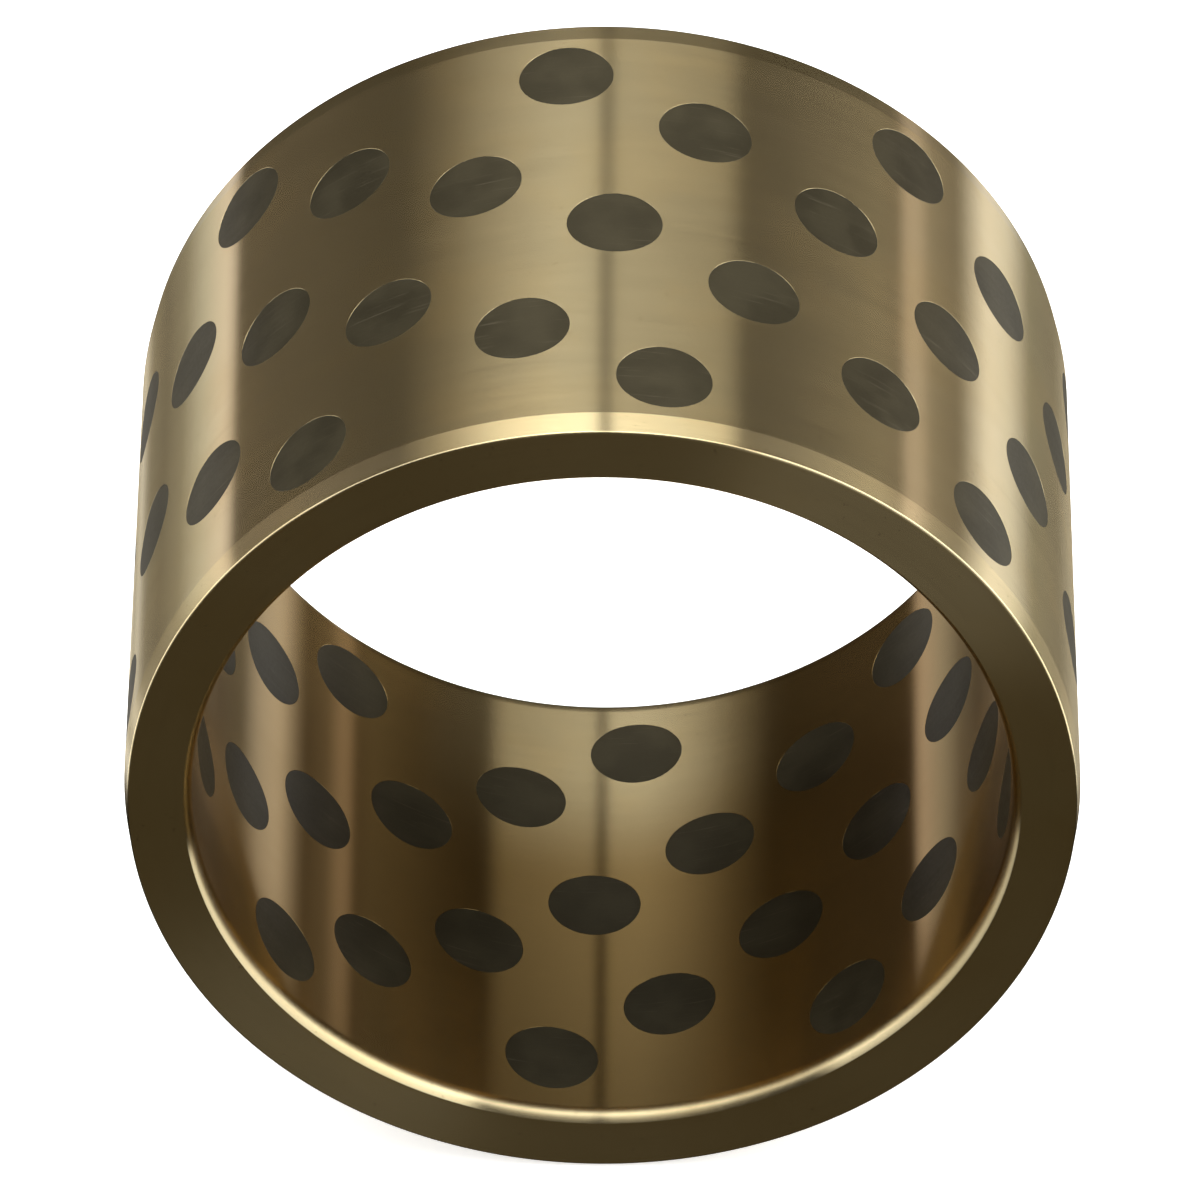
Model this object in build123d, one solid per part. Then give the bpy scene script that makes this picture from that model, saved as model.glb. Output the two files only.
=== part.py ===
from build123d import *
import math
import os

# Oil-less sleeve bush: a turned bronze tube, with graphite plugs glued into radial holes through its wall
# and machined flush with the bore and the outside. It lies on its side: the axis is Y, the front face looks
# to -Y, and Z is up. The origin is on the axis, halfway along the length. Sizes are in millimetres.

# Sleeve
bore_diameter = 60.0
wall_thickness = 5.0
sleeve_length = 49.0
lead_length = 2.0            # length of the taper that guides each end of the sleeve into its housing
lead_angle = 8.0             # degrees between the taper and the axis
face_edge_radius = 0.2       # small round where the taper meets the end face
bore_edge_length = 1.4       # how far the rounded bore edge reaches along the bore
bore_edge_height = 0.65      # how far it reaches up the end face

# Graphite plugs
plug_diameter = 7.0
plug_rows = 7                # rows along the length
plugs_around = 8             # plugs in each row
plug_edge_land = 1.0         # plain wall between the shaped ends of the wall and the first plugs
first_row_angle = 7.0        # degrees from the top, towards +X, to the first plug of the front row
row_twist = -17.0            # degrees that each row is turned from the row in front of it

# Sizes that follow
bore_radius = bore_diameter / 2
outside_radius = bore_radius + wall_thickness
half_length = sleeve_length / 2
lead_depth = lead_length * math.tan(math.radians(lead_angle))
face_outer_radius = outside_radius - lead_depth
bore_edge_radius = (bore_edge_length**2 + bore_edge_height**2) / (2 * bore_edge_height)
first_row_offset = max(lead_length, bore_edge_length) + plug_edge_land + plug_diameter / 2
row_pitch = (sleeve_length - 2 * first_row_offset) / (plug_rows - 1)
drill_overrun = 1.0          # how far the drill passes the wall, inside and outside


def lead_in_point(end):
    """Start of the lead-in taper on the outside, at the front (-1) or the back (+1)."""
    return (outside_radius, end * (half_length - lead_length))


def plain_tube():
    """The turned tube before drilling: half its section, revolved about the axis."""
    edge_arc_middle = bore_edge_radius * math.sin(math.asin(bore_edge_length / bore_edge_radius) / 2)
    edge_arc_rise = bore_edge_radius - math.sqrt(bore_edge_radius**2 - edge_arc_middle**2)

    def bore_end_point(end):
        return (bore_radius, end * (half_length - bore_edge_length))

    def bore_arc_middle(end):
        return (bore_radius + edge_arc_rise, end * (half_length - bore_edge_length + edge_arc_middle))

    def face_inner_point(end):
        return (bore_radius + bore_edge_height, end * half_length)

    def face_outer_point(end):
        return (face_outer_radius, end * half_length)

    with BuildPart() as tube:
        with BuildSketch(Plane.XY):
            with BuildLine():
                Line(bore_end_point(-1), bore_end_point(1))
                ThreePointArc(bore_end_point(1), bore_arc_middle(1), face_inner_point(1))
                Line(face_inner_point(1), face_outer_point(1))
                Line(face_outer_point(1), lead_in_point(1))
                Line(lead_in_point(1), lead_in_point(-1))
                Line(lead_in_point(-1), face_outer_point(-1))
                Line(face_outer_point(-1), face_inner_point(-1))
                ThreePointArc(face_inner_point(-1), bore_arc_middle(-1), bore_end_point(-1))
            section = make_face()
            face_corners = section.vertices().filter_by(
                lambda corner: abs(corner.X - face_outer_radius) < face_edge_radius / 2
                and abs(abs(corner.Y) - half_length) < face_edge_radius / 2
            )
            fillet(face_corners, face_edge_radius)
        revolve(axis=Axis.Y)
    return tube.part


def radial_rod(angle, place, inner, outer):
    """A rod as thick as a plug, standing out from the axis at an angle from the top towards +X."""
    direction = Vector(math.sin(math.radians(angle)), 0, math.cos(math.radians(angle)))
    start = direction * inner + Vector(0, place, 0)
    return Solid.make_cylinder(plug_diameter / 2, outer - inner, Plane(origin=start, z_dir=direction))


def wall_ring():
    """The plain wall between the bore and the outside, which trims the plugs flush."""
    front = Plane(origin=(0, -half_length, 0), z_dir=(0, 1, 0))
    outside = Solid.make_cylinder(outside_radius, sleeve_length, front)
    bore = Solid.make_cylinder(bore_radius, sleeve_length, front)
    return outside - bore


def plug_places():
    """Each plug's node name, with its angle in degrees and its place along Y."""
    for row in range(plug_rows):
        place = -half_length + first_row_offset + row * row_pitch
        for step in range(plugs_around):
            angle = first_row_angle + row * row_twist + step * 360 / plugs_around
            yield f"plug_{row + 1}_{step + 1}", angle, place


os.makedirs("parts", exist_ok=True)
sleeve = plain_tube()
ring = wall_ring()
drill_start = math.sqrt(bore_radius**2 - (plug_diameter / 2) ** 2) - drill_overrun
drill_end = outside_radius + drill_overrun
drills = []
for name, angle, place in plug_places():
    rod = radial_rod(angle, place, drill_start, drill_end)
    drills.append(rod)
    plug = (ring & rod).solids()[0]
    plug.label = name
    export_step(plug, f"parts/{name}.step")
sleeve = sleeve.cut(*drills).solids()[0]
sleeve.label = "sleeve"
export_step(sleeve, "parts/sleeve.step")
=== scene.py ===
import math

import bpy
from mathutils import Matrix, Vector
from mathutils.geometry import delaunay_2d_cdt


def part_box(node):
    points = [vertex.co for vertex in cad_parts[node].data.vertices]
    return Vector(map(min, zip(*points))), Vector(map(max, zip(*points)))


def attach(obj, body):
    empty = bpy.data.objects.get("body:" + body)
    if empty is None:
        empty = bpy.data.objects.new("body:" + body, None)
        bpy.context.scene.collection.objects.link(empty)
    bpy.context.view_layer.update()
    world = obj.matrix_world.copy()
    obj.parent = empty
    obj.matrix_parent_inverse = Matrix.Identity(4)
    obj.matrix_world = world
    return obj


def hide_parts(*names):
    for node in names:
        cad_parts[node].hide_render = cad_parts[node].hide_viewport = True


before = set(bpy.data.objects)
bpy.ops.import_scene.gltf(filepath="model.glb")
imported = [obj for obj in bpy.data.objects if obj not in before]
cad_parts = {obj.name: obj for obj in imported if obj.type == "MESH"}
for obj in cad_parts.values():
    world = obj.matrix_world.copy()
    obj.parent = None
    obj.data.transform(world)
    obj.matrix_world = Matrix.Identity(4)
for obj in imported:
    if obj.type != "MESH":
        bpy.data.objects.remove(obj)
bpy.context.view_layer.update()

# Camera. The bush lies on its side and is seen from the front, well above the horizon, through a long lens,
# so its sides stay almost parallel. All lengths in this file are in metres.
view_elevation = math.radians(38.76)
view_distance = 1.0331
view_roll = math.radians(0.41)
view_offset = (-0.00027, -0.00025)
lens_mm = 416.2

camera = bpy.data.objects.new("camera", bpy.data.cameras.new("camera"))
bpy.context.scene.collection.objects.link(camera)
camera.data.lens = lens_mm
camera.data.sensor_width = 36
camera.data.clip_start = 0.01
camera.data.clip_end = 50
turn = Matrix.Rotation(math.pi / 2 - view_elevation, 4, "X") @ Matrix.Rotation(view_roll, 4, "Z")
camera.matrix_world = turn @ Matrix.Translation((*view_offset, view_distance))
bpy.context.scene.camera = camera


# Bronze sleeve: one tube of cast tin bronze, turned all over on a lathe, with a lead-in taper at each end
# outside and a rounded edge at each end of the bore. Its 56 holes are drilled before the last cut, so their
# rims are crisp. The turning leaves fine rings around the axis on every surface.
sleeve_low, sleeve_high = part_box("sleeve")
outside_radius = sleeve_high.x
half_length = sleeve_high.y
bore_radius = 0.030
lead_length = 0.002
lead_angle = math.radians(8)
face_edge_radius = 0.0002
bore_edge_length = 0.0014
bore_edge_height = 0.00065

plug_radius = 0.0035
plug_rows = 7
plugs_around = 8
first_row_angle = 7.0
row_twist = -17.0
hole_lip = 0.00001            # the broken edge at each mouth of a hole
plug_gap = 0.00001            # the glue line between a plug and its hole
hole_steps = 48

row_boxes = [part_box(f"plug_{row + 1}_1") for row in range(plug_rows)]
row_places = [(low.y + high.y) / 2 for low, high in row_boxes]
row_pitch = row_places[1] - row_places[0]


def plug_place(row, step):
    """Angle in degrees from the top towards +X, and place along the axis, of one plug."""
    return first_row_angle + row * row_twist + step * 360 / plugs_around, row_places[row]


def around(angle, radius, along):
    """A point at an angle in degrees about the axis, in the piece's own frame, whose Z is the axis."""
    turned = math.radians(angle)
    return Vector((radius * math.sin(turned), -radius * math.cos(turned), along))


same_point = 1e-7             # points this close are one point


class Skin:
    """Collects faces with the true surface direction at each corner, and joins equal points."""

    def __init__(self):
        self.places = {}
        self.points = []
        self.faces = []
        self.directions = []

    def face(self, points, directions):
        """One face, wound to look the way its corner directions do."""
        across = (points[1] - points[0]).cross(points[2] - points[0])
        if across.dot(directions[0]) < 0:
            points = points[::-1]
            directions = directions[::-1]
        corners = []
        for point in points:
            key = tuple(round(value / same_point) for value in point)
            if key not in self.places:
                self.places[key] = len(self.points)
                self.points.append(point)
            corners.append(self.places[key])
        self.faces.append(corners)
        self.directions.extend(directions)

    def strip(self, first, second, first_directions, second_directions):
        """Quads between two closed rows of points."""
        for here in range(len(first)):
            there = (here + 1) % len(first)
            points = [first[here], first[there], second[there], second[here]]
            directions = [first_directions[here], first_directions[there]]
            directions += [second_directions[there], second_directions[here]]
            self.face(points, directions)

    def piece(self, name, material):
        """The finished mesh, turned so that its Z lies along the bush."""
        mesh = bpy.data.meshes.new(name)
        mesh.from_pydata(self.points, [], self.faces)
        mesh.shade_smooth()
        mesh.normals_split_custom_set([direction.normalized() for direction in self.directions])
        mesh.materials.append(material)
        made = bpy.data.objects.new(name, mesh)
        bpy.context.scene.collection.objects.link(made)
        made.rotation_euler = (-math.pi / 2, 0, 0)
        return made


def hole_ring(angle, along, radius, wall_radius):
    """Points of a round hole's edge, drilled square to the axis, where it meets a wall of some radius."""
    ring = []
    for step in range(hole_steps):
        turned = math.tau * step / hole_steps
        sideways = radius * math.cos(turned)
        swing = math.degrees(math.asin(sideways / wall_radius))
        ring.append((angle + swing, along + radius * math.sin(turned)))
    return ring


columns = 32                  # mesh columns between one plug and the next in its row
row_height = 0.00075          # about the height of one mesh row
hole_collar = 0.0003          # width of the even ring of mesh around each hole
hole_clearance = 0.00062      # how near to a hole the other mesh points may lie
corner_steps = 6
bore_edge_steps = 12


def twist_at(along):
    """How far the mesh is turned at a place along the axis, so that its seams run between the plugs."""
    reach = min(max(along, row_places[0]), row_places[-1]) - row_places[0]
    return first_row_angle + row_twist * reach / row_pitch


def wall_sheet(skin, wall_radius, half_height, outward):
    """One cylindrical wall with its holes, meshed for one eighth of the way round and repeated."""
    rows = round(2 * half_height / row_height)
    step_angle = 360 / plugs_around / columns
    flat = []
    edges = []
    kept = {}
    rim = plug_radius + hole_lip
    holes = [plug_place(row, 0) for row in range(plug_rows)]
    per_degree = math.radians(wall_radius)

    def clear_of_holes(angle, along):
        """Whether a mesh point is far enough from every hole."""
        reach = rim + hole_clearance
        return all(math.hypot((angle - a) * per_degree, along - p) > reach for a, p in holes)

    for row in range(rows + 1):
        along = -half_height + 2 * half_height * row / rows
        for column in range(columns + 1):
            angle = twist_at(along) + (column - columns / 2) * step_angle
            on_border = row in (0, rows) or column in (0, columns)
            if on_border or clear_of_holes(angle, along):
                kept[row, column] = len(flat)
                flat.append((angle, along))
    for row in range(rows):
        edges.append((kept[row, 0], kept[row + 1, 0]))
        edges.append((kept[row, columns], kept[row + 1, columns]))
    for column in range(columns):
        edges.append((kept[0, column], kept[0, column + 1]))
        edges.append((kept[rows, column], kept[rows, column + 1]))
    for angle, along in holes:
        first = len(flat)
        flat.extend(hole_ring(angle, along, rim, wall_radius))
        edges.extend((first + i, first + (i + 1) % hole_steps) for i in range(hole_steps))
        flat.extend(hole_ring(angle, along, rim + hole_collar, wall_radius))

    scaled = [Vector((angle * per_degree, along)) for angle, along in flat]
    points, _, faces, origins, _, _ = delaunay_2d_cdt(scaled, edges, [], 1, 1e-9)
    places = [flat[origin[0]] if origin else None for origin in origins]
    sign = 1 if outward else -1
    for face in faces:
        middle = sum((points[i] for i in face), Vector((0, 0))) / len(face)
        if any((middle - Vector((a * per_degree, p))).length < rim for a, p in holes):
            continue
        for step in range(plugs_around):
            turned = step * 360 / plugs_around
            corners = [around(places[i][0] + turned, wall_radius, places[i][1]) for i in face]
            skin.face(corners, [Vector((c.x, c.y, 0)) * sign for c in corners])


def end_profile(end):
    """The turned end of the tube, from the outside to the bore: runs of (radius, along, direction)."""
    lead_depth = lead_length * math.tan(lead_angle)
    taper = (math.cos(lead_angle), end * math.sin(lead_angle))
    face_radius = outside_radius - lead_depth
    corner_turn = math.pi / 2 - lead_angle
    set_back = face_edge_radius * math.tan(corner_turn / 2)
    start = (outside_radius, end * (half_length - lead_length))
    round_start_radius = face_radius + set_back * math.sin(lead_angle)
    round_start_along = half_length - set_back * math.cos(lead_angle)
    round_centre = (face_radius - set_back, half_length - face_edge_radius)
    runs = [[(*start, taper), (round_start_radius, end * round_start_along, taper)]]
    corner = []
    for step in range(corner_steps + 1):
        lean = lead_angle + corner_turn * step / corner_steps
        direction = (math.cos(lean), end * math.sin(lean))
        corner.append((
            round_centre[0] + face_edge_radius * math.cos(lean),
            end * (round_centre[1] + face_edge_radius * math.sin(lean)),
            direction,
        ))
    runs.append(corner)
    flat = (0, end)
    inner = bore_radius + bore_edge_height
    middle = (round_centre[0] + inner) / 2
    runs.append([(radius, end * half_length, flat) for radius in (round_centre[0], middle, inner)])
    edge_radius = (bore_edge_length**2 + bore_edge_height**2) / (2 * bore_edge_height)
    sweep = math.asin(bore_edge_length / edge_radius)
    bore_edge = []
    for step in range(bore_edge_steps + 1):
        lean = sweep * (1 - step / bore_edge_steps)
        bore_edge.append((
            bore_radius + edge_radius * (1 - math.cos(lean)),
            end * (half_length - bore_edge_length + edge_radius * math.sin(lean)),
            (-math.cos(lean), end * math.sin(lean)),
        ))
    runs.append(bore_edge)
    return runs


def turned_ends(skin):
    """Both ends of the tube, swept around the axis on the walls' own mesh columns."""
    ring_steps = columns * plugs_around
    for end in (-1, 1):
        phase = twist_at(end * half_length)
        angles = [phase + 360 * (step - columns / 2) / ring_steps for step in range(ring_steps)]
        for run in end_profile(end):
            rings = []
            for radius, along, (out, lengthways) in run:
                points = [around(angle, radius, along) for angle in angles]
                directions = [around(angle, out, lengthways) for angle in angles]
                rings.append((points, directions))
            for (first, first_way), (second, second_way) in zip(rings, rings[1:]):
                skin.strip(first, second, first_way, second_way)


def drilled_hole(skin, angle, along):
    """The wall of one hole, with the narrow lip that the last cut leaves at each mouth."""
    axis = around(angle, 1, 0)
    rows = []
    for radius, wall_radius in (
        (plug_radius + hole_lip, outside_radius),
        (plug_radius, outside_radius - hole_lip),
        (plug_radius, bore_radius + hole_lip),
        (plug_radius + hole_lip, bore_radius),
    ):
        ring = hole_ring(angle, along, radius, wall_radius)
        rows.append([around(a, wall_radius, p) for a, p in ring])
    middle = Vector((0, 0, along))
    for index, lean in ((0, axis), (1, Vector()), (2, -axis)):
        inward = []
        for point in rows[index]:
            reach = point - middle
            inward.append(-(reach - axis * reach.dot(axis)).normalized() + lean)
        skin.strip(rows[index], rows[index + 1], inward, inward)


class Wire:
    """A value on its way through a node tree. Python operators on it add Math nodes."""

    def __init__(self, tree, socket=None):
        self.tree = tree
        self.socket = socket

    def add(self, kind, settings=None, inputs=None, output=0):
        """Adds one node: its settings first, then the values or wires of its sockets."""
        node = self.tree.nodes.new(kind)
        for name, value in (settings or {}).items():
            if name == "stops":
                ramp = node.color_ramp.elements
                while len(ramp) < len(value):
                    ramp.new(0.5)
                for element, (position, colour) in zip(ramp, value):
                    element.position = position
                    element.color = (*colour, 1)
            else:
                setattr(node, name, value)
        for name, value in (inputs or {}).items():
            if isinstance(value, Wire):
                self.tree.links.new(value.socket, node.inputs[name])
            else:
                node.inputs[name].default_value = value
        return Wire(self.tree, node.outputs[output] if len(node.outputs) else None)

    def maths(self, operation, *values):
        return self.add("ShaderNodeMath", {"operation": operation}, dict(enumerate(values)))

    def __add__(self, other):
        return self.maths("ADD", self, other)

    def __radd__(self, other):
        return self.maths("ADD", other, self)

    def __sub__(self, other):
        return self.maths("SUBTRACT", self, other)

    def __rsub__(self, other):
        return self.maths("SUBTRACT", other, self)

    def __mul__(self, other):
        return self.maths("MULTIPLY", self, other)

    def __rmul__(self, other):
        return self.maths("MULTIPLY", other, self)

    def __truediv__(self, other):
        return self.maths("DIVIDE", self, other)

    def root_of_squares(self, other):
        """The length of the slanting side over two sides at a right angle."""
        squares = self * self + other * other
        return squares.maths("SQRT", squares)

    def axes(self):
        """The x, y and z of this place or direction."""
        split = self.add("ShaderNodeSeparateXYZ", inputs={0: self})
        return [Wire(self.tree, output) for output in split.socket.node.outputs]

    def between(self, low, high):
        """0 below low, 1 above high, and a smooth step from one to the other."""
        return self.add(
            "ShaderNodeMapRange",
            {"interpolation_type": "SMOOTHSTEP"},
            {"Value": self, "From Min": low, "From Max": high},
        )

    def mix(self, first, second):
        """The first colour where this value is 0, and the second where it is 1."""
        return self.add("ShaderNodeMix", {"data_type": "RGBA"}, {0: self, 6: first, 7: second}, 2)


def new_material(name):
    """An empty material, and a wire to start its nodes from."""
    material = bpy.data.materials.new(name)
    material.use_nodes = True
    material.node_tree.nodes.clear()
    return material, Wire(material.node_tree)


face_share = 0.7              # how close together the rings are on the end faces, next to the walls


def ring_noise(start, rings, spread, detail):
    """Noise drawn out into rings about the axis: so many rings and specks to the metre."""
    x, y, z = start.add("ShaderNodeTexCoord", output="Object").axes()
    reach = x.root_of_squares(y)
    stretched = start.add(
        "ShaderNodeCombineXYZ",
        inputs={0: x / reach * spread, 1: y / reach * spread, 2: (z + reach * face_share) * rings},
    )
    return start.add(
        "ShaderNodeTexNoise",
        {"noise_dimensions": "3D"},
        {"Vector": stretched, "Scale": 1, "Detail": detail, "Roughness": 0.6},
    )


clean_bronze = (0.80, 0.66, 0.385, 1)
tarnished_bronze = (0.765, 0.612, 0.335, 1)
turning_mark = (0.56, 0.44, 0.24, 1)
dark_speck = (0.42, 0.30, 0.15, 1)
# Painted shade: the bore gets a darker colour that stands in for the shade inside it. It is lifted only near
# its lowest line at the far end.
bore_painted_shade = (0.40, 0.272, 0.108, 1)
bore_shade_edge = (bore_radius + 0.00002, bore_radius + 0.00015)
shade_lifted_along = (0.002, 0.017)  # the painted bore shade is lifted towards the far end,
shade_lifted_below = (0.87, 0.97)    # near the lowest line of the bore only
ring_depth = 0.000006

bronze, start = new_material("turned_bronze")
fine_rings = ring_noise(start, 5200, 5, 2)
coarse_rings = ring_noise(start, 900, 4, 3)
marks = ring_noise(start, 2400, 3, 3)
place = start.add("ShaderNodeTexCoord", output="Object")
cloud = start.add(
    "ShaderNodeTexNoise", inputs={"Vector": place, "Scale": 90, "Detail": 5, "Roughness": 0.55}
)
speck = start.add("ShaderNodeTexNoise", inputs={"Vector": place, "Scale": 2600, "Detail": 1})
x, y, along = place.axes()
from_axis = x.root_of_squares(y)
in_bore = 1 - from_axis.between(*bore_shade_edge)
shade_lifted = along.between(*shade_lifted_along) * (y / from_axis).between(*shade_lifted_below)
tarnish = cloud.between(0.42, 0.68)
colour = tarnish.mix(clean_bronze, tarnished_bronze)
colour = (marks.between(0.50, 0.80) * 0.16).mix(colour, turning_mark)
# painted shade over the bore, lifted near the bottom of the far end
colour = (in_bore * (1 - shade_lifted * 0.9)).mix(colour, bore_painted_shade)
colour = (speck.between(0.70, 0.78) * 0.35).mix(colour, dark_speck)
roughness = 0.175 + coarse_rings * 0.03 + tarnish * 0.015
height = fine_rings * 0.08 + coarse_rings
bump = start.add("ShaderNodeBump", inputs={"Strength": 1.0, "Distance": ring_depth, "Height": height})
shader = start.add(
    "ShaderNodeBsdfPrincipled",
    inputs={
        "Base Color": colour,
        "Metallic": 1.0,
        "Roughness": roughness,
        "Anisotropic": 1.0,
        "Anisotropic Rotation": 0.25,
        "Normal": bump,
    },
)
start.add("ShaderNodeOutputMaterial", inputs={"Surface": shader})

tube = Skin()
wall_sheet(tube, outside_radius, half_length - lead_length, outward=True)
wall_sheet(tube, bore_radius, half_length - bore_edge_length, outward=False)
turned_ends(tube)
for row in range(plug_rows):
    for step in range(plugs_around):
        drilled_hole(tube, *plug_place(row, step))
sleeve = tube.piece("bronze_sleeve", bronze)
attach(sleeve, "root")
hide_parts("sleeve")


# Graphite plugs: solid lubricant, pressed into rods, glued into the holes and cut flush with the wall in the
# same pass as the bronze. The cut leaves them matt, with fine scratches that run around the bush.
plug_sink = 0.000004          # how far a plug's ends sit below the bronze
plug_edge = 0.00001           # the crumbled edge around each end
end_rings = (0.3, 0.6, 0.85)  # mesh rings across a plug's end, as shares of its radius
dark_graphite = (0.017, 0.0144, 0.0084, 1)
pale_graphite = (0.027, 0.0230, 0.0136, 1)
scratch_colour = (0.060, 0.051, 0.034, 1)
scratch_depth = 0.00002

graphite, start = new_material("graphite")
scratches = ring_noise(start, 5000, 6, 3)
drag = ring_noise(start, 1400, 2, 2)
place = start.add("ShaderNodeTexCoord", output="Object")
grain = start.add("ShaderNodeTexNoise", inputs={"Vector": place, "Scale": 3500, "Detail": 3})
blotch = start.add("ShaderNodeTexNoise", inputs={"Vector": place, "Scale": 260, "Detail": 2})
colour = blotch.between(0.35, 0.7).mix(dark_graphite, pale_graphite)
colour = (scratches.between(0.60, 0.74) * 0.7).mix(colour, scratch_colour)
roughness = 0.42 + grain * 0.12 - drag * 0.06
height = scratches * 0.6 + grain * 0.4
bump = start.add("ShaderNodeBump", inputs={"Strength": 0.35, "Distance": scratch_depth, "Height": height})
shader = start.add(
    "ShaderNodeBsdfPrincipled",
    inputs={
        "Base Color": colour,
        "Roughness": roughness,
        "Specular IOR Level": 0.45,
        "Specular Tint": (1.0, 0.86, 0.55, 1),
        "Anisotropic": 0.6,
        "Anisotropic Rotation": 0.25,
        "Normal": bump,
    },
)
start.add("ShaderNodeOutputMaterial", inputs={"Surface": shader})


def graphite_plug(name, angle, along):
    """One plug: two cut ends that follow the curve of the walls, and its round side."""
    skin = Skin()
    axis = around(angle, 1, 0)
    body_radius = plug_radius - plug_gap
    side = None
    for wall_radius, sign in ((outside_radius - plug_sink, 1), (bore_radius + plug_sink, -1)):
        centre = around(angle, wall_radius, along)
        previous = [centre] * hole_steps
        for radius in [share * body_radius for share in end_rings] + [body_radius - plug_edge]:
            ring = [around(a, wall_radius, p) for a, p in hole_ring(angle, along, radius, wall_radius)]
            for here in range(hole_steps):
                there = (here + 1) % hole_steps
                corners = [previous[here], ring[here], ring[there], previous[there]]
                if previous[0] == centre:
                    corners = corners[:3]
                skin.face(corners, [Vector((c.x, c.y, 0)) * sign for c in corners])
            previous = ring
        deep = wall_radius - sign * plug_edge
        edge = [around(a, deep, p) for a, p in hole_ring(angle, along, body_radius, deep)]
        middle = Vector((0, 0, along))
        outward = [(p - middle - axis * (p - middle).dot(axis)).normalized() for p in edge]
        slanting = [direction + axis * sign for direction in outward]
        skin.strip(previous, edge, slanting, slanting)
        if side is not None:
            skin.strip(side, edge, outward, outward)
        side = edge
    return skin.piece(name, graphite)


for row in range(plug_rows):
    for step in range(plugs_around):
        node = f"plug_{row + 1}_{step + 1}"
        plug = graphite_plug(f"graphite_{node}", *plug_place(row, step))
        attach(plug, "root")
        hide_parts(node)


# Floor: a wide plain sheet of matt white card that the bush lies on.
floor_half_width = 4.0
floor_material, start = new_material("white_card")
place = start.add("ShaderNodeTexCoord", output="Object")
fibre = start.add("ShaderNodeTexNoise", inputs={"Vector": place, "Scale": 40, "Detail": 3})
colour = fibre.mix((0.90, 0.90, 0.90, 1), (0.93, 0.93, 0.93, 1))
shader = start.add(
    "ShaderNodeBsdfPrincipled",
    inputs={"Base Color": colour, "Roughness": 0.9, "Emission Color": colour, "Emission Strength": 0.75},
)
start.add("ShaderNodeOutputMaterial", inputs={"Surface": shader})
floor_mesh = bpy.data.meshes.new("floor")
w = floor_half_width
floor_mesh.from_pydata(
    [(-w, -w, sleeve_low.z), (w, -w, sleeve_low.z), (w, w, sleeve_low.z), (-w, w, sleeve_low.z)],
    [],
    [(0, 1, 2, 3)],
)
floor_mesh.materials.append(floor_material)
floor = bpy.data.objects.new("floor", floor_mesh)
bpy.context.scene.collection.objects.link(floor)
floor.visible_glossy = False


# Light: a tent of softboxes over the bush, cut into long bands that fan out from a line low in front of it,
# with a narrow gap between the two overhead boxes and nothing below. Each band has its side, which is the
# angle from overhead towards +X of a turned wall that mirrors it, its brightness and its share of green.
fan_elevation = view_elevation
softboxes = [
    (-92, 0.10, 1.00), (-86, 0.76, 1.00), (-82.5, 0.31, 1.00), (-79.5, 0.68, 1.00), (-75, 0.22, 1.00),
    (-69, 0.165, 1.00), (-63, 0.29, 1.02), (-58, 0.62, 1.03), (-52.4, 0.94, 0.92), (-51.2, 0.11, 0.95),
    (-25, 0.080, 1.00), (-19, 0.23, 1.00), (-12, 0.54, 1.00), (-6, 0.74, 1.01), (-1.15, 0.73, 1.01),
    (-0.9, 0.08, 1.00), (0.05, 0.08, 1.00), (0.3, 0.66, 1.01), (14.5, 0.41, 1.01), (17.0, 0.085, 1.00),
    (22, 0.095, 1.00), (35, 0.225, 1.00), (38.4, 0.17, 0.96), (39.8, 0.63, 0.90), (43.5, 0.25, 0.97),
    (48.4, 0.16, 0.97), (54, 1.02, 0.98), (58.5, 0.84, 1.00), (64, 0.245, 1.06), (73, 0.18, 1.00),
    (79, 0.29, 1.00), (92, 0.40, 1.00),
]
# How bright the tent is, by the angle that the surface that mirrors it leans towards the near end: 0 on a
# straight wall, 90 on the end face.
lean_brightness = [
    (-20, 0.01), (-2.4, 0.04), (0.6, 0.14), (4.6, 0.40), (7.1, 0.66), (11.6, 1.24), (15.6, 2.40), (19, 2.50),
    (23, 1.50), (27, 0.55), (32, 0.42), (40, 0.28), (50, 0.03), (90, 0.01),
]
wall_share = 0.43             # what a turned wall gathers of that brightness
brightest = 2.5
warmth = (1.0, 1.08, 1.25)    # a dim band is warmer than a bright one: powers for red, green and blue
dim_colour = (1.0, 0.83, 0.52)
band_glow = 0.075             # the part of every band that is dim light, which is added evenly further down
even_glow = 0.045
floor_glow = 0.055
lamp_colour = (1.0, 1.02, 1.03)
end_share = 0.95              # how far the side bands are evened out from end to end
# The lamps: where each one starts and stops and how soft its edges are, first by lean and then by side, and
# its brightness. They are a hoop over the near end, a box on each side, and a weak fill in front.
lamps = [
    ((22, 32, 4), (-86, 86, 4), 1.8),
    ((26, 50, 6), (20, 80, 4), 1.3),
    ((33, 48, 5), (-84, -37, 6), 0.85),
    ((55, 80, 8), (25, 60, 15), 0.25),
]


def window(value, low, high, soft):
    """1 where an angle lies between low and high, fading over soft degrees outside them."""
    return value.between(low - soft, low) * (1 - value.between(high, high + soft))


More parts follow.
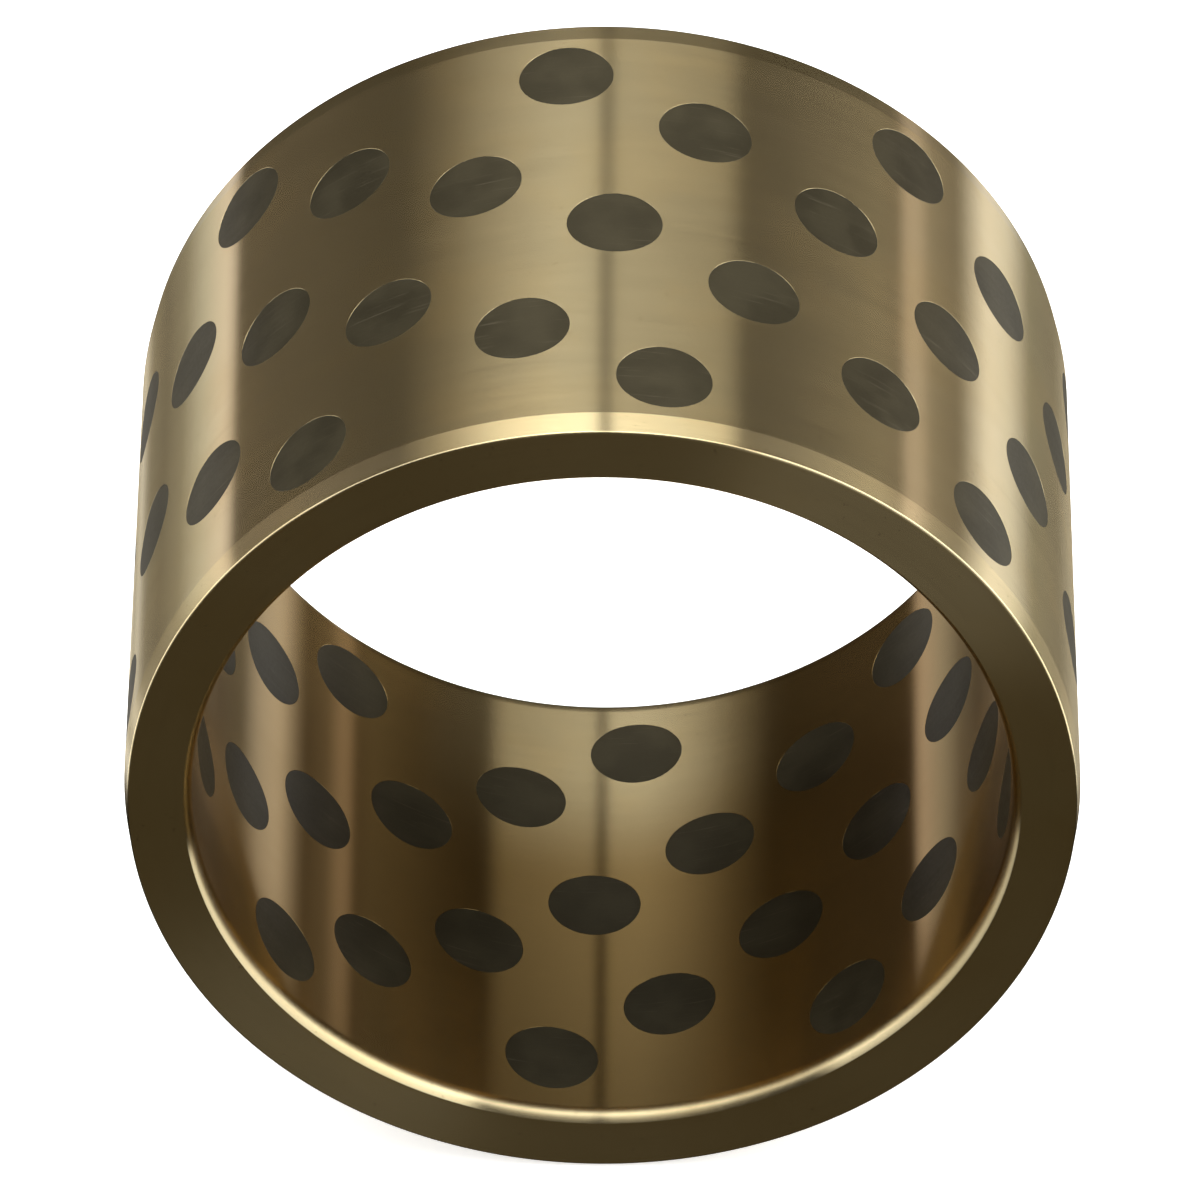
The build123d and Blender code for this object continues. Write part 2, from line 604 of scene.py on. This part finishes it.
world = bpy.data.worlds.new("studio")
world.use_nodes = True
world.node_tree.nodes.clear()
bpy.context.scene.world = world
start = Wire(world.node_tree)
x, y, z = start.add("ShaderNodeTexCoord", output="Generated").axes()
rise = z + math.sin(fan_elevation)
side = x.maths("ARCTAN2", x, rise)
side = side.maths("DEGREES", side)
nearness = math.cos(fan_elevation) - y
lean = nearness.maths("ARCTAN2", nearness, x.root_of_squares(rise))
lean = lean.maths("DEGREES", lean)
stops = []
for angle, band, green in softboxes:
    red_power, green_power, blue_power = warmth
    box_light = (band**red_power, band**green_power * green, band**blue_power * green)
    box_light = tuple(light - band_glow * dim for light, dim in zip(box_light, dim_colour))
    stops.append((angle / 360 + 0.5, box_light))
bands = start.add("ShaderNodeValToRGB", {"stops": stops}, {"Fac": side / 360 + 0.5})
stops = [(angle / 180 + 0.5, (glow / brightest,) * 3) for angle, glow in lean_brightness]
brightness = start.add("ShaderNodeValToRGB", {"stops": stops}, {"Fac": lean / 180 + 0.5})

steep = brightness * (brightest / wall_share)
above = window(side, -92, 92, 4)
even = window(lean, -20, 24, 12)
sides = 1 - window(side, -42, 32, 12)
strength = (steep + sides * (even - steep) * end_share) * above
tent = start.add("ShaderNodeVectorMath", {"operation": "SCALE"}, {0: bands, "Scale": strength})
lamp_glow = sum(window(lean, *lean_range) * window(side, *side_range) * glow
                for lean_range, side_range, glow in lamps)
lamp_light = start.add("ShaderNodeVectorMath", {"operation": "SCALE"}, {0: lamp_colour, "Scale": lamp_glow})
dim = even * above * even_glow + window(lean, 60, 90, 15) * floor_glow
dim_light = start.add("ShaderNodeVectorMath", {"operation": "SCALE"}, {0: dim_colour, "Scale": dim})
total = start.add("ShaderNodeVectorMath", {"operation": "ADD"}, {0: tent, 1: lamp_light})
total = start.add("ShaderNodeVectorMath", {"operation": "ADD"}, {0: total, 1: dim_light})
seen = start.add("ShaderNodeLightPath", output="Is Camera Ray")
shade = seen.mix(total, (1, 1, 1, 1))
background = start.add("ShaderNodeBackground", inputs={"Color": shade, "Strength": 1})
start.add("ShaderNodeOutputWorld", inputs={"Surface": background})

# An area light overhead lights the matt graphite and the card. The bronze doesn't mirror it.
ceiling_width = 2.4
ceiling_height = 1.2
ceiling_watts = 26
ceiling = bpy.data.objects.new("ceiling_light", bpy.data.lights.new("ceiling_light", "AREA"))
bpy.context.scene.collection.objects.link(ceiling)
ceiling.data.shape = "RECTANGLE"
ceiling.data.size = ceiling_width
ceiling.data.size_y = ceiling_width
ceiling.data.energy = ceiling_watts
ceiling.location = (0, 0, ceiling_height)
ceiling.visible_glossy = False
ceiling.visible_camera = False

bpy.context.scene.view_settings.view_transform = "Standard"
